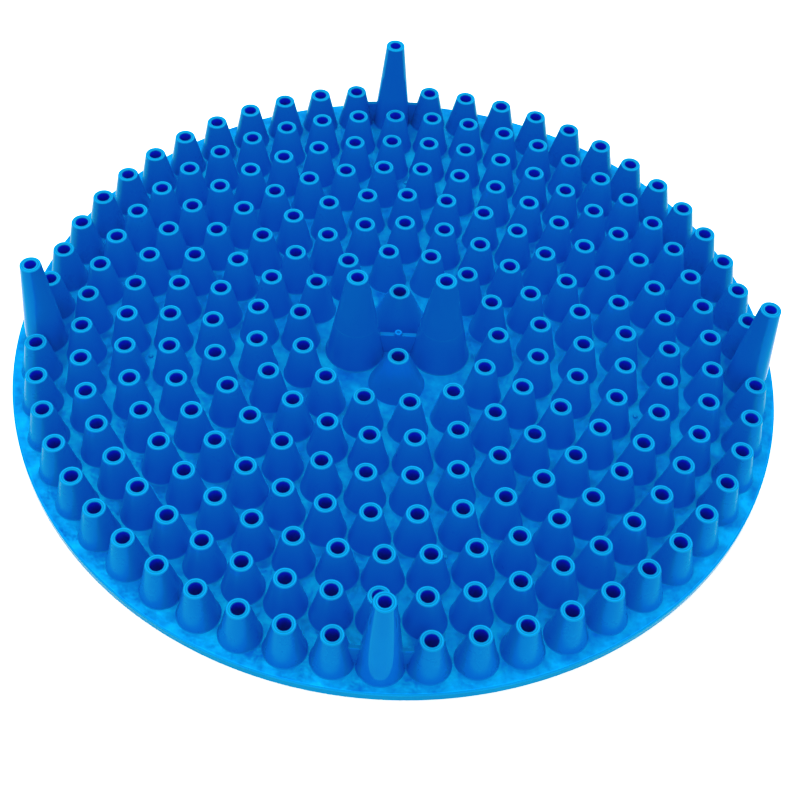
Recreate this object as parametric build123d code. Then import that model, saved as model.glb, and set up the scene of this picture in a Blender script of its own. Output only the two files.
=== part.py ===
from build123d import *
import math
import os

# A bucket dirt trap: one blue moulding, a round deck with rings of hollow funnels on it.
# It is modelled funnels up, standing on the lower edge of its rim. Origin: centre of that
# edge's plane. +X runs through the two grip cones and +Z runs up the funnels.

# rim and deck
rim_radius = 130.0
rim_height = 3.2
rim_wall = 2.2
rim_round = 0.5            # rounding of the rim's upper outer edge
deck_thickness = 2.0

# short funnels
funnel_height = 17.9       # tip above the rim's lower edge
funnel_tip_radius = 3.55
funnel_hole_radius = 2.1
funnel_wall = 1.5          # wall at the wide mouth
funnel_gap = 0.8           # strip of deck left between neighbours

# the ring pattern: funnels in rings 2 to 8, and where the first of each ring stands
rim_margin = 9.75          # rim's outer edge to the outer ring's funnel centres
inner_ring_radius = 33.66
ring_counts = [14, 21, 27, 34, 41, 47, 53]
ring_starts = [-31.5, -31.6, -31.8, -31.9, -30.3, -30.85, -30.2]

# legs: tall posts that take four places in the outer ring
leg_names = ["right", "back", "left", "front"]
leg_places = [4, 18, 31, 44]
leg_height = 39.6
leg_base_radius = 7.2
leg_tip_radius = 3.4
leg_hole_radius = 1.9
leg_wall = 1.6
leg_gap = 0.45             # strip of deck between a leg and the funnel beside it
leg_web_thickness = 1.5
leg_web_height = 9.1       # above the deck

# the centre: two grip cones, two wide funnels across from them, the web and its gate stub
centre_offset = 14.5
grip_height = 39.6
grip_base_radius = 10.0
grip_tip_radius = 3.5
grip_hole_radius = 2.05
grip_wall = 1.6
grip_step = 0.1            # the cone above the step is this much slimmer
centre_gap = 1.1
centre_funnel_wall = 1.6
grip_web_thickness = 1.6
grip_web_height = 8.9      # above the deck
stub_radius = 1.3
stub_height = 1.1
stub_dimple_radius = 0.6
stub_dimple_depth = 0.4

# ejector pips on the deck, midway between two rings
pip_rings = (5, 6)
pip_angles = [89.2, 184.8, 281.5, 344.1]
pip_radius = 0.75
pip_height = 0.6
pip_search = 3.0           # each pip moves up to this many degrees to the roomiest spot

# worked out from the values above
deck_top = rim_height
deck_bottom = rim_height - deck_thickness
deck_radius = rim_radius - rim_wall
outer_ring_radius = rim_radius - rim_margin
ring_step = (outer_ring_radius - inner_ring_radius) / (len(ring_counts) - 1)
ring_radii = [inner_ring_radius + ring_step * k for k in range(len(ring_counts))]


def pitch_of(radius, count):
    return 2 * radius * math.sin(math.pi / count)


outer_pitch = pitch_of(outer_ring_radius, ring_counts[-1])
tightest_pitch = min([ring_step] + [pitch_of(r, n) for r, n in zip(ring_radii, ring_counts)])
funnel_base_radius = min(
    (tightest_pitch - funnel_gap) / 2,
    outer_pitch - leg_base_radius - leg_gap,
)
centre_funnel_base_radius = centre_offset * math.sqrt(2) - grip_base_radius - centre_gap


def at(radius, degrees):
    return (radius * math.cos(math.radians(degrees)), radius * math.sin(math.radians(degrees)))


def turned(profile):
    """A solid of revolution about +Z from (radius, height) points."""
    return revolve(Plane.XZ * make_face(Polyline(*profile, close=True)), Axis.Z, 360)


def hollow_cone(base_radius, tip_radius, hole_radius, wall, top):
    """A tapered tube: a straight collar through the deck, then the cone up to a flat tip."""
    return turned([
        (base_radius - wall, deck_bottom),
        (base_radius, deck_bottom),
        (base_radius, deck_top),
        (tip_radius, top),
        (hole_radius, top),
    ])


def solid_cone(base_radius, tip_radius, top):
    """The space that a cone takes up, for cutting what runs into it."""
    return turned([
        (0, deck_bottom),
        (base_radius, deck_bottom),
        (base_radius, deck_top),
        (tip_radius, top),
        (0, top),
    ])


def placed(shape, places):
    return [Pos(x, y, 0) * shape for x, y in places]


def write(name, shapes):
    """One STEP file for a node, holding each of its solids separately."""
    solids = [s for shape in shapes for s in shape.solids()]
    export_step(solids[0] if len(solids) == 1 else Compound(solids), f"parts/{name}.step")


# where every cone stands
ring_places = []
for radius, count, start in zip(ring_radii, ring_counts, ring_starts):
    ring_places.append([at(radius, start + 360 / count * i) for i in range(count)])
outer_places = ring_places[-1]
leg_centres = [outer_places[i] for i in leg_places]
ring_places[-1] = [p for p in outer_places if p not in leg_centres]
grip_centres = {"left": at(centre_offset, 180), "right": at(centre_offset, 0)}
centre_places = [at(centre_offset, 90), at(centre_offset, 270)]

# cones
short_funnel = hollow_cone(
    funnel_base_radius, funnel_tip_radius, funnel_hole_radius, funnel_wall, funnel_height)
centre_funnel = hollow_cone(
    centre_funnel_base_radius, funnel_tip_radius, funnel_hole_radius, centre_funnel_wall,
    funnel_height)
leg = hollow_cone(leg_base_radius, leg_tip_radius, leg_hole_radius, leg_wall, leg_height)
short_funnel_space = solid_cone(funnel_base_radius, funnel_tip_radius, funnel_height)
leg_space = solid_cone(leg_base_radius, leg_tip_radius, leg_height)
grip_space = solid_cone(grip_base_radius, grip_tip_radius, grip_height)

# a grip cone has a fine witness step all round at the height of the short funnels' tips
step_share = (funnel_height - deck_top) / (grip_height - deck_top)
step_radius = grip_base_radius + (grip_tip_radius - grip_base_radius) * step_share
grip_cone = turned([
    (grip_base_radius - grip_wall, deck_bottom),
    (grip_base_radius, deck_bottom),
    (grip_base_radius, deck_top),
    (step_radius, funnel_height),
    (step_radius - grip_step, funnel_height),
    (grip_tip_radius, grip_height),
    (grip_hole_radius, grip_height),
])

# deck: a disc with one hole for every cone's collar
def deck_circle(radius, x=0, y=0):
    return Wire(Edge.make_circle(radius, Plane((x, y, deck_bottom))))


holes = [deck_circle(funnel_base_radius, x, y) for ring in ring_places for x, y in ring]
holes += [deck_circle(leg_base_radius, x, y) for x, y in leg_centres]
holes += [deck_circle(centre_funnel_base_radius, x, y) for x, y in centre_places]
holes += [deck_circle(grip_base_radius, x, y) for x, y in grip_centres.values()]
deck_plate = extrude(Face(deck_circle(deck_radius), holes), deck_thickness, dir=(0, 0, 1))

# rim: a ring round the deck that reaches down past it
rim_skirt = turned([
    (deck_radius, 0),
    (rim_radius, 0),
    (rim_radius, rim_height),
    (deck_radius, rim_height),
])
rim_skirt = fillet(rim_skirt.edges().group_by(Axis.Z)[-1].sort_by(SortBy.RADIUS)[-1], rim_round)

# web between the grip cones, cut to their flanks, with the gate stub on its middle
grip_web = Pos(0, 0, deck_top + grip_web_height / 2) * Box(
    2 * centre_offset, grip_web_thickness, grip_web_height)
for x, y in grip_centres.values():
    grip_web -= Pos(x, y, 0) * grip_space
web_top = deck_top + grip_web_height
gate_stub = Pos(0, 0, web_top + stub_height / 2) * Cylinder(stub_radius, stub_height)
dimple_centre = web_top + stub_height - stub_dimple_depth / 2
gate_stub -= Pos(0, 0, dimple_centre) * Cylinder(stub_dimple_radius, stub_dimple_depth)


def leg_webs(place):
    """The two webs from a leg to the funnels on each side of it."""
    webs = []
    x, y = outer_places[place]
    for side in (-1, 1):
        other_x, other_y = outer_places[(place + side) % len(outer_places)]
        turn = math.degrees(math.atan2(other_y - y, other_x - x))
        middle = Pos((x + other_x) / 2, (y + other_y) / 2, deck_top + leg_web_height / 2)
        web = middle * Rot(0, 0, turn) * Box(outer_pitch, leg_web_thickness, leg_web_height)
        web -= Pos(x, y, 0) * leg_space
        web -= Pos(other_x, other_y, 0) * short_funnel_space
        webs.append(web)
    return webs


def pip_place(angle):
    """The spot near this angle, midway between two rings, with most room round it."""
    inner, outer = [ring_places[ring - 2] for ring in pip_rings]
    radius = (ring_radii[pip_rings[0] - 2] + ring_radii[pip_rings[1] - 2]) / 2
    spots = [at(radius, angle + pip_search * i / 30) for i in range(-30, 31)]
    return max(spots, key=lambda spot: min(math.dist(spot, c) for c in inner + outer))


pip = Pos(0, 0, deck_top + pip_height / 2) * Cylinder(pip_radius, pip_height)

os.makedirs("parts", exist_ok=True)
write("deck_plate", [deck_plate])
write("rim_skirt", [rim_skirt])
write("funnel_ring_1", placed(centre_funnel, centre_places))
for number, places in enumerate(ring_places, start=2):
    write(f"funnel_ring_{number}", placed(short_funnel, places))
for name, place, (x, y) in zip(leg_names, leg_places, leg_centres):
    write(f"leg_post_{name}", [Pos(x, y, 0) * leg])
    write(f"leg_webs_{name}", leg_webs(place))
for name, (x, y) in grip_centres.items():
    write(f"grip_cone_{name}", [Pos(x, y, 0) * grip_cone])
write("grip_web", [grip_web])
write("gate_stub", [gate_stub])
write("ejector_pips", placed(pip, [pip_place(angle) for angle in pip_angles]))
print("funnel base radius", round(funnel_base_radius, 3), "ring step", round(ring_step, 3))
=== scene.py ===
import bpy, bmesh, math
from mathutils import Vector, Matrix, Quaternion
from mathutils.geometry import delaunay_2d_cdt


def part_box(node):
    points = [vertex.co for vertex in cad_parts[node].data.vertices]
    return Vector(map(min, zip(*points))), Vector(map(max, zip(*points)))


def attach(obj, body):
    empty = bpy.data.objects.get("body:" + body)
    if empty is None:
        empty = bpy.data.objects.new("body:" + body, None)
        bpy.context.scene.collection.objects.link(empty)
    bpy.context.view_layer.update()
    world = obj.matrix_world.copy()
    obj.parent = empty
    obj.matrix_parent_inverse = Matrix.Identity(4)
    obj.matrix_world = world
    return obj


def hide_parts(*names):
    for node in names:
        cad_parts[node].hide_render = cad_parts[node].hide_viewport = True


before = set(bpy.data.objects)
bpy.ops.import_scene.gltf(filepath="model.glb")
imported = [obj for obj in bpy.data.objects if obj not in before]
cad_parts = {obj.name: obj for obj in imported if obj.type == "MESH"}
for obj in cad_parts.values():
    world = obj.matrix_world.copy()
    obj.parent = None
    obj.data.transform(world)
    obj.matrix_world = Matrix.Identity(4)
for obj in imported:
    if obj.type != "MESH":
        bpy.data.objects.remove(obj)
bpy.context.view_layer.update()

mm = 0.001


# layout: heights and outer radii are read from the frame, the rings' plan repeats the CAD's

def nodeHeight(node, end):
    # lower (0) or upper (1) face of a node, to a hundredth of a millimetre
    return round(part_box(node)[end][2], 5)


def nodeRadius(node):
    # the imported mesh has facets, so its radius is read to a tenth of a millimetre
    low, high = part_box(node)
    return round(max(high[0], high[1], -low[0], -low[1]), 4)


deckBottom = nodeHeight("deck_plate", 0)
deckTop = nodeHeight("deck_plate", 1)
deckRadius = nodeRadius("deck_plate")

ringPlan = {
    "firstNumber": 2,
    "counts": [14, 21, 27, 34, 41, 47, 53],     # rings 2 to 8
    "starts": [-31.5, -31.6, -31.8, -31.9, -30.3, -30.85, -30.2],   # degrees
    "innerRadius": 33.66 * mm,
    "outerMargin": 9.75 * mm,
    "legs": {"right": 4, "back": 18, "left": 31, "front": 44},      # places in ring 8
    "centreOffset": 14.5 * mm,
}
rimRadius = nodeRadius("rim_skirt")
outerRadius = rimRadius - ringPlan["outerMargin"]
ringStep = (outerRadius - ringPlan["innerRadius"]) / (len(ringPlan["counts"]) - 1)
ringNumbers = range(ringPlan["firstNumber"], ringPlan["firstNumber"] + len(ringPlan["counts"]))
outerRing = ringNumbers[-1]


def spot(radius, degrees):
    return (radius * math.cos(math.radians(degrees)), radius * math.sin(math.radians(degrees)))


def ringSpots(number):
    # centres of a ring's cones, legs' places included
    k = number - ringPlan["firstNumber"]
    count = ringPlan["counts"][k]
    radius = ringPlan["innerRadius"] + ringStep * k
    return [spot(radius, ringPlan["starts"][k] + 360 / count * i) for i in range(count)]


outerSpots = ringSpots(outerRing)
legSpots = {name: outerSpots[i] for name, i in ringPlan["legs"].items()}


def funnelSpots(number):
    return [place for place in ringSpots(number) if place not in legSpots.values()]


gripSpots = {
    "left": (-ringPlan["centreOffset"], 0.0),
    "right": (ringPlan["centreOffset"], 0.0),
}
centreSpots = [(0.0, ringPlan["centreOffset"]), (0.0, -ringPlan["centreOffset"])]


# materials

def newMaterial(name):
    mat = bpy.data.materials.new(name)
    mat.use_nodes = True
    nodes = mat.node_tree.nodes
    nodes.clear()
    out = nodes.new("ShaderNodeOutputMaterial")
    bsdf = nodes.new("ShaderNodeBsdfPrincipled")
    mat.node_tree.links.new(bsdf.outputs["BSDF"], out.inputs["Surface"])
    return mat, mat.node_tree, bsdf


noises = {
    "range": (0.3, 0.7),        # nearly all of a noise texture's values lie between these
    "driftDetail": 3.0,
    "polishDetail": 5.0,
    "bumpDetail": 2.0,
}


def addNoise(tree, coords, scale, detail):
    noise = tree.nodes.new("ShaderNodeTexNoise")
    noise.inputs["Scale"].default_value = scale
    noise.inputs["Detail"].default_value = detail
    tree.links.new(coords.outputs["Object"], noise.inputs["Vector"])
    return noise.outputs["Fac"]


def addBump(tree, height, strength, depth):
    bump = tree.nodes.new("ShaderNodeBump")
    bump.inputs["Strength"].default_value = strength
    bump.inputs["Distance"].default_value = depth
    tree.links.new(height, bump.inputs["Height"])
    return bump


def bluePlastic(name, look):
    # dyed polypropylene: colour drifts a little, roughness follows the tool's polish
    mat, tree, bsdf = newMaterial(name)
    link = tree.links.new
    coords = tree.nodes.new("ShaderNodeTexCoord")
    least, most = noises["range"]

    tint = tree.nodes.new("ShaderNodeValToRGB")
    tint.color_ramp.elements[0].position = least
    tint.color_ramp.elements[0].color = (*look["deep"], 1)
    tint.color_ramp.elements[1].position = most
    tint.color_ramp.elements[1].color = (*look["light"], 1)
    link(addNoise(tree, coords, look["driftScale"], noises["driftDetail"]), tint.inputs["Fac"])

    # painted light and shade: each vertex carries its own factor on the colour, above 1 a painted
    # highlight, below 1 painted shade
    paintedShading = tree.nodes.new("ShaderNodeAttribute")
    paintedShading.attribute_name = "paintedShading"
    colourWithPaintedShading = tree.nodes.new("ShaderNodeVectorMath")
    colourWithPaintedShading.operation = "SCALE"
    link(tint.outputs["Color"], colourWithPaintedShading.inputs["Vector"])
    link(paintedShading.outputs["Fac"], colourWithPaintedShading.inputs["Scale"])
    link(colourWithPaintedShading.outputs["Vector"], bsdf.inputs["Base Color"])

    span = tree.nodes.new("ShaderNodeMapRange")
    span.inputs["From Min"].default_value = least
    span.inputs["From Max"].default_value = most
    span.inputs["To Min"].default_value = look["roughness"][0]
    span.inputs["To Max"].default_value = look["roughness"][1]
    link(addNoise(tree, coords, look["polishScale"], noises["polishDetail"]), span.inputs["Value"])
    link(span.outputs["Result"], bsdf.inputs["Roughness"])

    # slow waves from shrinkage, and the fine grain of the tool's surface over them
    wave = addNoise(tree, coords, look["waveScale"], noises["bumpDetail"])
    waveBump = addBump(tree, wave, look["waveStrength"], look["waveDepth"])
    grain = addNoise(tree, coords, look["grainScale"], noises["bumpDetail"])
    grainBump = addBump(tree, grain, look["grainStrength"], look["grainDepth"])
    link(waveBump.outputs["Normal"], grainBump.inputs["Normal"])
    link(grainBump.outputs["Normal"], bsdf.inputs["Normal"])

    bsdf.inputs["IOR"].default_value = look["ior"]
    bsdf.inputs["Specular Tint"].default_value = (*look["glossTint"], 1)
    return mat


plasticLooks = {
    # flanks of the funnels in rings 1 to 7, the grip web and the gate stub
    "flankBlue": {
        "deep": (0.0040, 0.098, 0.425), "light": (0.0055, 0.118, 0.460), "driftScale": 45.0,
        "roughness": (0.27, 0.36), "polishScale": 260.0,
        "waveScale": 160.0, "waveStrength": 0.15, "waveDepth": 0.0002,
        "grainScale": 2600.0, "grainStrength": 0.10, "grainDepth": 0.00004,
        "ior": 1.5, "glossTint": (0.0, 0.85, 1.0),
    },
    # flanks of the outer ring's funnels, and the webs at the legs: a darker copy of the flank blue,
    # painted shade
    "outerBluePaintedShade": {
        "deep": (0.0030, 0.084, 0.335), "light": (0.0045, 0.100, 0.370), "driftScale": 45.0,
        "roughness": (0.25, 0.33), "polishScale": 260.0,
        "waveScale": 160.0, "waveStrength": 0.15, "waveDepth": 0.0002,
        "grainScale": 2600.0, "grainStrength": 0.10, "grainDepth": 0.00004,
        "ior": 1.5, "glossTint": (0.0, 0.85, 1.0),
    },
    # flat tips and the pips: a lighter, greener copy of the blue, painted light on faces turned up
    "tipBluePaintedLight": {
        "deep": (0.0180, 0.158, 0.420), "light": (0.0250, 0.178, 0.455), "driftScale": 60.0,
        "roughness": (0.16, 0.24), "polishScale": 260.0,
        "waveScale": 400.0, "waveStrength": 0.15, "waveDepth": 0.0001,
        "grainScale": 2600.0, "grainStrength": 0.06, "grainDepth": 0.00003,
        "ior": 1.5, "glossTint": (0.0, 0.9, 1.0),
    },
    # insides of the cones: a deep navy copy of the blue, even throughout, painted shade in the bores
    "boreBluePaintedShade": {
        "deep": (0.0050, 0.0090, 0.560), "light": (0.0060, 0.0120, 0.640), "driftScale": 60.0,
        "roughness": (0.5, 0.6), "polishScale": 200.0,
        "waveScale": 300.0, "waveStrength": 0.1, "waveDepth": 0.0001,
        "grainScale": 1500.0, "grainStrength": 0.05, "grainDepth": 0.00003,
        "ior": 1.3, "glossTint": (0.0, 0.3, 1.0),
    },
    # legs and grip cones, polished higher than the rest of the tool; their colour is a darker copy of
    # the blue, painted shade
    "legBluePaintedShade": {
        "deep": (0.0040, 0.080, 0.335), "light": (0.0055, 0.096, 0.375), "driftScale": 45.0,
        "roughness": (0.09, 0.14), "polishScale": 200.0,
        "waveScale": 90.0, "waveStrength": 0.12, "waveDepth": 0.0002,
        "grainScale": 1800.0, "grainStrength": 0.05, "grainDepth": 0.00003,
        "ior": 1.5, "glossTint": (0.0, 0.85, 1.0),
    },
    # the deck and the rim's upper face: a lighter, greener copy of the blue, painted light on faces
    # turned up
    "deckBluePaintedLight": {
        "deep": (0.0050, 0.105, 0.450), "light": (0.0090, 0.290, 0.660), "driftScale": 170.0,
        "roughness": (0.12, 0.22), "polishScale": 150.0,
        "waveScale": 260.0, "waveStrength": 0.9, "waveDepth": 0.0006,
        "grainScale": 2200.0, "grainStrength": 0.10, "grainDepth": 0.00004,
        "ior": 1.5, "glossTint": (0.0, 0.85, 1.0),
    },
    # the rim's sides and lower edge: a darker copy of the deck's blue, painted shade
    "rimBluePaintedShade": {
        "deep": (0.0060, 0.106, 0.305), "light": (0.0080, 0.124, 0.340), "driftScale": 40.0,
        "roughness": (0.12, 0.20), "polishScale": 150.0,
        "waveScale": 120.0, "waveStrength": 0.1, "waveDepth": 0.0002,
        "grainScale": 2200.0, "grainStrength": 0.08, "grainDepth": 0.00004,
        "ior": 1.5, "glossTint": (0.0, 0.85, 1.0),
    },
}
plastics = {name: bluePlastic(name, look) for name, look in plasticLooks.items()}
print("materials made:", ", ".join(plastics))


# mesh helpers

# the third value of a corner paints light or shade onto its vertices: above 1 a painted highlight,
# below 1 painted shade
def corner(r, z, paintedShading=1.0, radius=0, steps=0):
    return (r, z, paintedShading, radius, steps)


def roundedOutline(corners, closed=False):
    # each corner with a radius becomes an arc of that many steps
    points = []
    count = len(corners)
    for i, (r, z, paintedShading, radius, steps) in enumerate(corners):
        if radius == 0 or (not closed and i in (0, count - 1)):
            points.append((r, z, paintedShading))
            continue
        here = Vector((r, z))
        before = Vector(corners[i - 1][:2]) - here
        after = Vector(corners[(i + 1) % count][:2]) - here
        before.normalize()
        after.normalize()
        half = before.angle(after) / 2
        reach = radius / math.tan(half)
        centre = here + (before + after).normalized() * (radius / math.sin(half))
        start = here + before * reach - centre
        end = here + after * reach - centre
        turn = start.angle_signed(end)
        for step in range(steps + 1):
            angle = -turn * step / steps
            c, s = math.cos(angle), math.sin(angle)
            points.append((centre.x + start.x * c - start.y * s,
                           centre.y + start.x * s + start.y * c, paintedShading))
    return points


def newMesh():
    mesh = bmesh.new()
    # each vertex keeps a factor for painted light and shade
    mesh.verts.layers.float.new("paintedShading")
    return mesh


def addVert(mesh, place, paintedShading=1.0):
    vert = mesh.verts.new(place)
    vert[mesh.verts.layers.float["paintedShading"]] = paintedShading
    return vert


def addTurned(mesh, outline, places, steps, slots):
    # a closed outline turned about a vertical axis at each place; slots are its stretches' materials
    angles = [2 * math.pi * i / steps for i in range(steps)]
    for px, py in places:
        rows = []
        for r, z, paintedShading in outline:
            rows.append([addVert(mesh, (px + r * math.cos(a), py + r * math.sin(a), z), paintedShading)
                         for a in angles])
        for j, row in enumerate(rows):
            other = rows[(j + 1) % len(rows)]
            for i in range(steps):
                k = (i + 1) % steps
                face = mesh.faces.new((row[i], row[k], other[k], other[i]))
                face.material_index = slots[j]


shadingPlan = {"sharpAngle": 40, "weight": 100}     # degrees; how strongly large faces lead


def finishPiece(name, mesh, materials, nodes):
    bmesh.ops.recalc_face_normals(mesh, faces=mesh.faces)
    data = bpy.data.meshes.new(name)
    mesh.to_mesh(data)
    mesh.free()
    data.polygons.foreach_set("use_smooth", [True] * len(data.polygons))
    data.set_sharp_from_angle(angle=math.radians(shadingPlan["sharpAngle"]))
    for material in materials:
        data.materials.append(plastics[material])
    piece = bpy.data.objects.new(name, data)
    bpy.context.scene.collection.objects.link(piece)
    shading = piece.modifiers.new("evenShading", "WEIGHTED_NORMAL")
    shading.keep_sharp = True
    shading.weight = shadingPlan["weight"]
    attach(piece, "root")
    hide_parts(*nodes)
    return piece


# hollow cones: short funnels, wide centre funnels, legs and grip cones. Their radii and walls
# repeat the CAD's, and their heights are read from the frame.

# each cone's materials: its flank, the tip's lighter copy of the blue for painted light, and the
# bore's deep copy for painted shade
cones = {
    "shortFunnel": {
        "base": 6.6 * mm, "tip": 3.55 * mm, "hole": 2.1 * mm, "wall": 1.5 * mm,
        "top": nodeHeight("funnel_ring_2", 1),
        "foot": 0.35 * mm, "tipRound": 0.38 * mm, "holeRound": 0.3 * mm, "mouthRound": 0.25 * mm,
        "steps": 48, "materials": ["flankBlue", "tipBluePaintedLight", "boreBluePaintedShade"],
    },
    "centreFunnel": {
        "base": 9.406 * mm, "tip": 3.55 * mm, "hole": 2.1 * mm, "wall": 1.6 * mm,
        "top": nodeHeight("funnel_ring_1", 1),
        "foot": 0.35 * mm, "tipRound": 0.38 * mm, "holeRound": 0.3 * mm, "mouthRound": 0.25 * mm,
        "steps": 64, "materials": ["flankBlue", "tipBluePaintedLight", "boreBluePaintedShade"],
    },
    "leg": {
        "base": 7.2 * mm, "tip": 3.4 * mm, "hole": 1.9 * mm, "wall": 1.6 * mm,
        "top": nodeHeight("leg_post_front", 1),
        "foot": 0.35 * mm, "tipRound": 0.38 * mm, "holeRound": 0.25 * mm, "mouthRound": 0.25 * mm,
        "steps": 96, "materials": ["legBluePaintedShade", "tipBluePaintedLight", "boreBluePaintedShade"],
    },
    "gripCone": {
        "base": 10.0 * mm, "tip": 3.5 * mm, "hole": 2.05 * mm, "wall": 1.6 * mm,
        "top": nodeHeight("grip_cone_left", 1),
        "foot": 0.4 * mm, "tipRound": 0.38 * mm, "holeRound": 0.25 * mm, "mouthRound": 0.25 * mm,
        "steps": 96, "materials": ["legBluePaintedShade", "tipBluePaintedLight", "boreBluePaintedShade"],
        "stepHeight": nodeHeight("funnel_ring_2", 1), "stepDepth": 0.06 * mm, "stepRise": 0.04 * mm,
    },
}
coneArcs = {"foot": 5, "tip": 5, "hole": 4, "mouth": 4}     # steps in each rounding
collarInset = 0.02 * mm     # keeps each collar just inside its hole in the deck

# painted light and shade on each stretch of a cone, as a factor on its material's colour: above 1 a
# painted highlight, as on the foot and the tip's two lips, below 1 painted shade, as in the valley
# between the lips
paintedShadingByStretch = {
    "foot": 1.12, "outerEdge": 0.95, "lip": 1.55, "beside": 0.92, "valley": 0.76, "holeEdge": 0.9,
    "bore": 1.0,
}
# two fine lips run round each tip with a shallow valley between them
tipFace = {
    "edge": 0.42 * mm,          # from the tip's outside to the outer lip
    "innerShare": 0.8,          # the inner lip's distance from the hole, against that
    "lipWidth": 0.12 * mm,
    "valleyDepth": 0.06 * mm,
}


def coneOutline(cone):
    # the closed outline, and a material slot for each stretch: 0 flank, 1 tip, 2 inside
    base, tip, top, hole = cone["base"], cone["tip"], cone["top"], cone["hole"]
    slope = math.atan2(base - tip, top - deckTop)
    fillet = cone["foot"]
    guide = 3 * fillet          # straight runs on both sides of the foot's arc, dropped again below
    foot = roundedOutline([
        corner(base + guide, deckTop),
        corner(base, deckTop, paintedShadingByStretch["foot"], fillet, coneArcs["foot"]),
        corner(base - math.sin(slope) * guide, deckTop + math.cos(slope) * guide),
    ])[1:-1]
    corners = [corner(base - collarInset, deckBottom, paintedShadingByStretch["foot"]),
               corner(base - collarInset, deckTop - collarInset, paintedShadingByStretch["foot"])]
    corners += [corner(*point) for point in foot]
    if "stepHeight" in cone:
        share = (cone["stepHeight"] - deckTop) / (top - deckTop)
        atStep = base + (tip - base) * share
        corners.append(corner(atStep, cone["stepHeight"]))
        corners.append(corner(atStep - cone["stepDepth"], cone["stepHeight"] + cone["stepRise"]))
    tipStart = len(corners)     # first point of the outer edge's arc
    edge, lip, low = tipFace["edge"], tipFace["lipWidth"], top - tipFace["valleyDepth"]
    innerEdge = edge * tipFace["innerShare"]
    face = [
        corner(tip - edge, top, paintedShadingByStretch["lip"]),
        corner(tip - edge - lip, low, paintedShadingByStretch["beside"]),
        corner((tip + hole) / 2, low, paintedShadingByStretch["valley"]),
        corner(hole + innerEdge + lip, low, paintedShadingByStretch["beside"]),
        corner(hole + innerEdge, top, paintedShadingByStretch["lip"]),
    ]
    corners.append(corner(tip, top, paintedShadingByStretch["outerEdge"], cone["tipRound"], coneArcs["tip"]))
    corners += face
    corners += [
        corner(hole, top, paintedShadingByStretch["holeEdge"], cone["holeRound"], coneArcs["hole"]),
        corner(base - cone["wall"], deckBottom, paintedShadingByStretch["bore"], cone["mouthRound"], coneArcs["mouth"]),
    ]
    outline = roundedOutline(corners, closed=True)
    # the bore is the one stretch from the hole edge's last point to the mouth's first
    boreStart = tipStart + coneArcs["tip"] + 1 + len(face) + coneArcs["hole"]
    slots = [1 if tipStart <= j < boreStart else 2 if j == boreStart else 0
             for j in range(len(outline))]
    return outline, slots


def makeCones(name, kind, places, nodes, flank=None):
    mesh = newMesh()
    outline, slots = coneOutline(cones[kind])
    addTurned(mesh, outline, places, cones[kind]["steps"], slots)
    materials = [flank or cones[kind]["materials"][0]] + cones[kind]["materials"][1:]
    return finishPiece(name, mesh, materials, nodes)


makeCones("funnelRing1", "centreFunnel", centreSpots, ["funnel_ring_1"])
# the outer ring's flanks take the darker copy of the blue, painted shade
for number in ringNumbers:
    makeCones(f"funnelRing{number}", "shortFunnel", funnelSpots(number), [f"funnel_ring_{number}"],
              "outerBluePaintedShade" if number == outerRing else None)
for side, place in legSpots.items():
    makeCones("leg" + side.capitalize(), "leg", [place], [f"leg_post_{side}"])
for side, place in gripSpots.items():
    makeCones("gripCone" + side.capitalize(), "gripCone", [place], [f"grip_cone_{side}"])
print("cones turned")


# deck and rim

deck = {
    "outlineSteps": 360,
    "holeSteps": 48,
    "cell": 16 * mm,            # size of the squares that holes are sorted into
    "justInside": 0.9999,       # share of a hole's radius that counts as over it
    "weld": 1e-8,
}


def circlePoints(x, y, radius, steps):
    angles = [2 * math.pi * i / steps for i in range(steps)]
    return [(x + radius * math.cos(a), y + radius * math.sin(a)) for a in angles]


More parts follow.
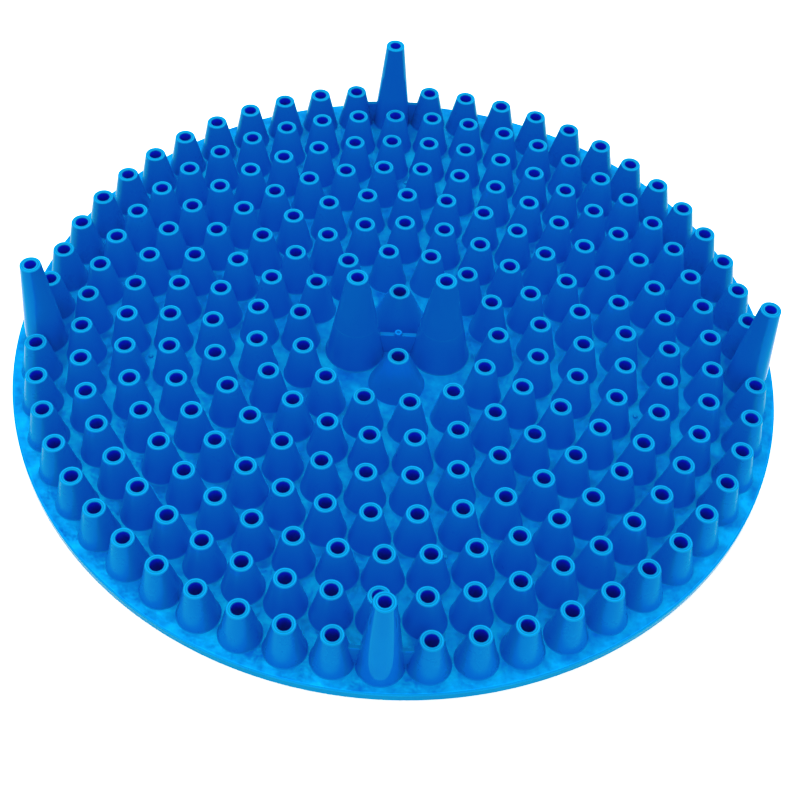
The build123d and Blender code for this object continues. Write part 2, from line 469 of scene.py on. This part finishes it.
def makeDeck():
    holes = [(x, y, cones["shortFunnel"]["base"])
             for number in ringNumbers for x, y in funnelSpots(number)]
    holes += [(x, y, cones["leg"]["base"]) for x, y in legSpots.values()]
    holes += [(x, y, cones["centreFunnel"]["base"]) for x, y in centreSpots]
    holes += [(x, y, cones["gripCone"]["base"]) for x, y in gripSpots.values()]
    outlines = [circlePoints(0, 0, deckRadius, deck["outlineSteps"])]
    outlines += [circlePoints(x, y, r, deck["holeSteps"]) for x, y, r in holes]
    flat, edges = [], []
    for outline in outlines:
        first = len(flat)
        flat += [Vector(p) for p in outline]
        edges += [(first + i, first + (i + 1) % len(outline)) for i in range(len(outline))]
    wholeInside = 1             # triangles for everything inside the outermost outline
    points, _, faces, _, _, _ = delaunay_2d_cdt(flat, edges, [], wholeInside, deck["weld"])

    cell = deck["cell"]
    near = {}                   # holes by square, so each triangle asks only its neighbours
    for hole in holes:
        near.setdefault((round(hole[0] / cell), round(hole[1] / cell)), []).append(hole)

    def overHole(x, y):
        cx, cy = round(x / cell), round(y / cell)
        for i in (cx - 1, cx, cx + 1):
            for j in (cy - 1, cy, cy + 1):
                for hx, hy, r in near.get((i, j), ()):
                    if math.hypot(x - hx, y - hy) < r * deck["justInside"]:
                        return True
        return False

    mesh = newMesh()
    upper = [addVert(mesh, (p.x, p.y, deckTop)) for p in points]
    lower = [addVert(mesh, (p.x, p.y, deckBottom)) for p in points]
    used = {}                   # sides of the triangles that stay, in the order they are met
    for face in faces:
        x = sum(points[i].x for i in face) / 3
        y = sum(points[i].y for i in face) / 3
        if overHole(x, y):
            continue
        mesh.faces.new([upper[i] for i in face])
        mesh.faces.new([lower[i] for i in reversed(face)])
        for i in range(3):
            used[face[i], face[(i + 1) % 3]] = True
    # a side that no neighbour shares is an edge of the deck or of a hole, and gets a wall
    for a, b in used:
        if (b, a) not in used:
            mesh.faces.new((upper[b], upper[a], lower[a], lower[b]))
    bmesh.ops.delete(mesh, geom=[v for v in mesh.verts if not v.link_faces], context="VERTS")
    return finishPiece("deckPlate", mesh, ["deckBluePaintedLight"], ["deck_plate"])


rim = {
    "steps": 512,
    "upperRound": 0.5 * mm,
    "highlightReach": 0.7 * mm,       # how far the painted highlight along the upper edge reaches
    "lowerRound": 0.2 * mm,
    "innerRound": 0.15 * mm,
    "upperSteps": 6,
    "lowerSteps": 3,
    # painted highlights along the upper and lower rounded edges
    "upperHighlight": 1.5,
    "lowerHighlight": 1.2,
}


def makeRim():
    bottom, top = nodeHeight("rim_skirt", 0), nodeHeight("rim_skirt", 1)
    upperFace = [
        corner(deckRadius, top),
        corner(rimRadius - rim["highlightReach"], top),
    ]
    sides = [
        corner(rimRadius, top, rim["upperHighlight"], rim["upperRound"], rim["upperSteps"]),
        corner(rimRadius, top - rim["highlightReach"]),
        corner(rimRadius, bottom, rim["lowerHighlight"], rim["lowerRound"], rim["lowerSteps"]),
        corner(deckRadius, bottom, 1.0, rim["innerRound"], rim["lowerSteps"]),
    ]
    outline = roundedOutline(upperFace + sides, closed=True)
    # the upper face takes the deck's lighter blue, painted light, and the sides the rim's darker
    # blue, painted shade
    slots = [0 if j < len(upperFace) else 1 for j in range(len(outline))]
    mesh = newMesh()
    addTurned(mesh, outline, [(0, 0)], rim["steps"], slots)
    return finishPiece("rimSkirt", mesh, ["deckBluePaintedLight", "rimBluePaintedShade"], ["rim_skirt"])


makeDeck()
makeRim()
print("deck and rim made")


# webs, gate stub and ejector pips

webs = {
    "legThickness": 1.5 * mm,
    "gripThickness": 1.6 * mm,
    "sink": 0.5 * mm,           # how far a web's end runs into the cone's wall
    "topRound": 0.25 * mm,
    "foot": 0.3 * mm,
    "arcSteps": 4,
    # painted highlight along the top's two edges and painted shade along its middle
    "edgeHighlight": 1.15,
    "topShade": 0.85,
    "topShare": 0.5,            # how much of the top has the painted shade in full
}


def coneRadiusAt(cone, height):
    share = (height - deckTop) / (cone["top"] - deckTop)
    return cone["base"] + (cone["tip"] - cone["base"]) * share


def addWeb(mesh, start, end, startCone, endCone, thickness, top):
    # the section stands across the web; its points run from one cone's flank to the other's
    half = thickness / 2
    guide = 3 * webs["foot"]    # a straight run outside the foot's arc, dropped again below
    right = roundedOutline([
        corner(half + guide, deckTop),
        corner(half, deckTop, 1.0, webs["foot"], webs["arcSteps"]),
        corner(half, top, webs["edgeHighlight"], webs["topRound"], webs["arcSteps"]),
        corner(half * webs["topShare"], top, webs["topShade"]),
        corner(0, top, webs["topShade"]),
    ])[1:-1]
    section = right + [(-x, z, paintedShading) for x, z, paintedShading in reversed(right)]
    along = Vector((end[0] - start[0], end[1] - start[1], 0))
    length = along.length
    along.normalize()
    across = Vector((-along.y, along.x, 0))
    ends = []
    for cone, fromStart in ((startCone, True), (endCone, False)):
        row = []
        for offset, z, paintedShading in section:
            reach = math.sqrt(max(coneRadiusAt(cone, z) ** 2 - offset ** 2, 0)) - webs["sink"]
            run = reach if fromStart else length - reach
            point = Vector((start[0], start[1], z)) + along * run + across * offset
            row.append(addVert(mesh, point, paintedShading))
        ends.append(row)
    near, far = ends
    for i in range(len(section)):
        k = (i + 1) % len(section)
        mesh.faces.new((near[i], near[k], far[k], far[i]))
    mesh.faces.new(near)
    mesh.faces.new(list(reversed(far)))


def makeLegWebs(side, i):
    mesh = newMesh()
    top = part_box(f"leg_webs_{side}")[1][2]
    for step in (-1, 1):
        addWeb(mesh, outerSpots[i], outerSpots[(i + step) % len(outerSpots)], cones["leg"],
               cones["shortFunnel"], webs["legThickness"], top)
    # the leg webs take the darker copy of the blue, painted shade
    finishPiece("legWebs" + side.capitalize(), mesh, ["outerBluePaintedShade"], [f"leg_webs_{side}"])


def makeGripWeb():
    mesh = newMesh()
    addWeb(mesh, gripSpots["left"], gripSpots["right"], cones["gripCone"], cones["gripCone"],
           webs["gripThickness"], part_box("grip_web")[1][2])
    finishPiece("gripWeb", mesh, ["flankBlue"], ["grip_web"])


for side, i in ringPlan["legs"].items():
    makeLegWebs(side, i)
makeGripWeb()


def addPlug(mesh, corners, place, steps):
    # like addTurned, but the outline starts and ends on the axis, where there is no painted light or
    # shade
    outline = roundedOutline(corners)
    angles = [2 * math.pi * i / steps for i in range(steps)]
    px, py = place
    bottom = addVert(mesh, (px, py, outline[0][1]))
    top = addVert(mesh, (px, py, outline[-1][1]))
    rows = []
    for r, z, paintedShading in outline[1:-1]:
        rows.append([addVert(mesh, (px + r * math.cos(a), py + r * math.sin(a), z), paintedShading)
                     for a in angles])
    for j in range(len(rows) - 1):
        for i in range(steps):
            k = (i + 1) % steps
            mesh.faces.new((rows[j][i], rows[j][k], rows[j + 1][k], rows[j + 1][i]))
    for i in range(steps):
        k = (i + 1) % steps
        mesh.faces.new((bottom, rows[0][k], rows[0][i]))
        mesh.faces.new((top, rows[-1][i], rows[-1][k]))


stub = {
    "round": 0.25 * mm,
    "dimple": 0.6 * mm,
    "dimpleDepth": 0.4 * mm,
    "dimpleFloor": 0.6,         # radius of the dimple's floor, as a share of its mouth
    "dimpleRound": 0.1 * mm,
    "sunk": 0.3 * mm,           # how far it runs down into the web
    "roundSteps": 4,
    "dimpleSteps": 3,
    # painted highlight round the stub's upper edges and painted shade in its dimple
    "edgeHighlight": 1.3,
    "dimpleShade": 0.8,
    "steps": 48,
}


def makeStub():
    low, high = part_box("gate_stub")
    radius, foot, top = high[0], low[2] - stub["sunk"], high[2]
    floor = top - stub["dimpleDepth"]
    mesh = newMesh()
    addPlug(mesh, [
        corner(0, foot),
        corner(radius, foot),
        corner(radius, top, stub["edgeHighlight"], stub["round"], stub["roundSteps"]),
        corner(stub["dimple"], top, stub["edgeHighlight"], stub["dimpleRound"], stub["dimpleSteps"]),
        corner(stub["dimple"] * stub["dimpleFloor"], floor, stub["dimpleShade"],
               stub["dimpleRound"], stub["dimpleSteps"]),
        corner(0, floor),
    ], (0, 0), stub["steps"])
    finishPiece("gateStub", mesh, ["flankBlue"], ["gate_stub"])


pips = {
    "radius": 0.75 * mm,
    "round": 0.3 * mm,
    "roundSteps": 4,
    "sunk": 0.5 * mm,           # how far each runs down into the deck
    "apart": 4 * mm,            # points nearer than this belong to one pip
    # painted highlight on the pips
    "paintedShading": 1.2,
    "steps": 32,
}


def pipCentres():
    # each pip is read back from the CAD node's own mesh
    centres = []
    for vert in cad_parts["ejector_pips"].data.vertices:
        p = Vector((vert.co.x, vert.co.y))
        for group in centres:
            if (group[0] / group[1] - p).length < pips["apart"]:
                group[0] += p
                group[1] += 1
                break
        else:
            centres.append([p, 1])
    return [tuple(total / count) for total, count in centres]


def makePips():
    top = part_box("ejector_pips")[1][2]
    foot = deckTop - pips["sunk"]
    mesh = newMesh()
    for place in pipCentres():
        addPlug(mesh, [
            corner(0, foot),
            corner(pips["radius"], foot, pips["paintedShading"]),
            corner(pips["radius"], top, pips["paintedShading"], pips["round"], pips["roundSteps"]),
            corner(0, top),
        ], place, pips["steps"])
    # the pips take the tip's lighter blue, painted light
    finishPiece("ejectorPips", mesh, ["tipBluePaintedLight"], ["ejector_pips"])


makeStub()
makePips()
print("webs, stub and pips made")


# studio: pale floor, soft light all round, camera

studio = {
    "floorSize": 6.0,
    "floorColour": (0.94, 0.94, 0.94),
    "floorRoughness": 0.8,
    "skyStrength": 1.8,
    "skyColour": (1.0, 1.0, 1.0),
    "keyPower": 2.0,
    "keySize": 0.6,
    "keyPlace": (-0.35, 0.25, 0.9),
}


def makeStudio():
    half = studio["floorSize"] / 2
    data = bpy.data.meshes.new("studioFloor")
    square = [(-half, -half, 0), (half, -half, 0), (half, half, 0), (-half, half, 0)]
    data.from_pydata(square, [], [(0, 1, 2, 3)])
    mat, tree, bsdf = newMaterial("paleFloor")
    bsdf.inputs["Base Color"].default_value = (*studio["floorColour"], 1)
    bsdf.inputs["Roughness"].default_value = studio["floorRoughness"]
    data.materials.append(mat)
    floor = bpy.data.objects.new("studioFloor", data)
    bpy.context.scene.collection.objects.link(floor)

    world = bpy.data.worlds.new("softSky")
    world.use_nodes = True
    background = world.node_tree.nodes["Background"]
    background.inputs["Color"].default_value = (*studio["skyColour"], 1)
    background.inputs["Strength"].default_value = studio["skyStrength"]
    bpy.context.scene.world = world

    light = bpy.data.lights.new("softKey", "AREA")
    light.energy = studio["keyPower"]
    light.size = studio["keySize"]
    key = bpy.data.objects.new("softKey", light)
    key.location = studio["keyPlace"]
    key.rotation_mode = "QUATERNION"
    key.rotation_quaternion = (-Vector(studio["keyPlace"])).to_track_quat("-Z", "Y")
    bpy.context.scene.collection.objects.link(key)


view = {
    "distance": 0.47559,        # metres from the aim point
    "aimHeight": 0.017865,      # of the aim point, straight above the part's origin
    "heading": -2.0,            # degrees round from straight in front
    "elevation": 48.63,
    "yaw": -0.255,              # the camera's own small turns away from the aim point
    "pitch": -3.121,
    "roll": 3.971,
    "lens": 63.32,
    "sensor": 36.0,
    "clipStart": 0.01,
}


def makeCamera():
    heading, tilt = math.radians(view["heading"] - 90), math.radians(view["elevation"])
    out = Vector((math.cos(heading) * math.cos(tilt), math.sin(heading) * math.cos(tilt),
                  math.sin(tilt)))
    forward = -out
    right = forward.cross(Vector((0, 0, 1))).normalized()
    up = right.cross(forward)
    yaw = Quaternion(up, math.radians(view["yaw"]))
    forward, right = yaw @ forward, yaw @ right
    pitch = Quaternion(right, math.radians(view["pitch"]))
    forward, up = pitch @ forward, pitch @ up
    roll = Quaternion(forward, -math.radians(view["roll"]))
    right, up = roll @ right, roll @ up
    place = Vector((0, 0, view["aimHeight"])) + out * view["distance"]
    data = bpy.data.cameras.new("studioCamera")
    data.lens = view["lens"]
    data.sensor_width = view["sensor"]
    data.clip_start = view["clipStart"]
    camera = bpy.data.objects.new("studioCamera", data)
    camera.matrix_world = Matrix((
        (right.x, up.x, -forward.x, place.x),
        (right.y, up.y, -forward.y, place.y),
        (right.z, up.z, -forward.z, place.z),
        (0, 0, 0, 1),
    ))
    bpy.context.scene.collection.objects.link(camera)
    bpy.context.scene.camera = camera


makeStudio()
makeCamera()

# display curves, channel by channel: red stays low in saturated blues, blue is flat in its middle
display = {
    "red": [(0.0, 0.0015), (0.05, 0.004), (0.14, 0.009), (0.45, 0.33), (1.0, 1.0)],
    "green": [(0.0, 0.003), (0.05, 0.057), (0.10, 0.092), (0.30, 0.285), (1.0, 1.0)],
    "blue": [(0.0, 0.02), (0.15, 0.24), (0.30, 0.42), (0.40, 0.455), (0.50, 0.485), (0.58, 0.60),
             (0.70, 0.67), (0.85, 0.80), (1.0, 1.0)],
}


def setDisplay():
    settings = bpy.context.scene.view_settings
    settings.view_transform = "Standard"
    settings.use_curve_mapping = True
    for channel, name in enumerate(("red", "green", "blue")):
        curve = settings.curve_mapping.curves[channel]
        points = display[name]
        curve.points[0].location = points[0]
        curve.points[1].location = points[-1]
        for point in points[1:-1]:
            curve.points.new(*point)
        for point in curve.points:
            point.handle_type = "AUTO_CLAMPED"
    settings.curve_mapping.update()


setDisplay()
print("studio and camera set")
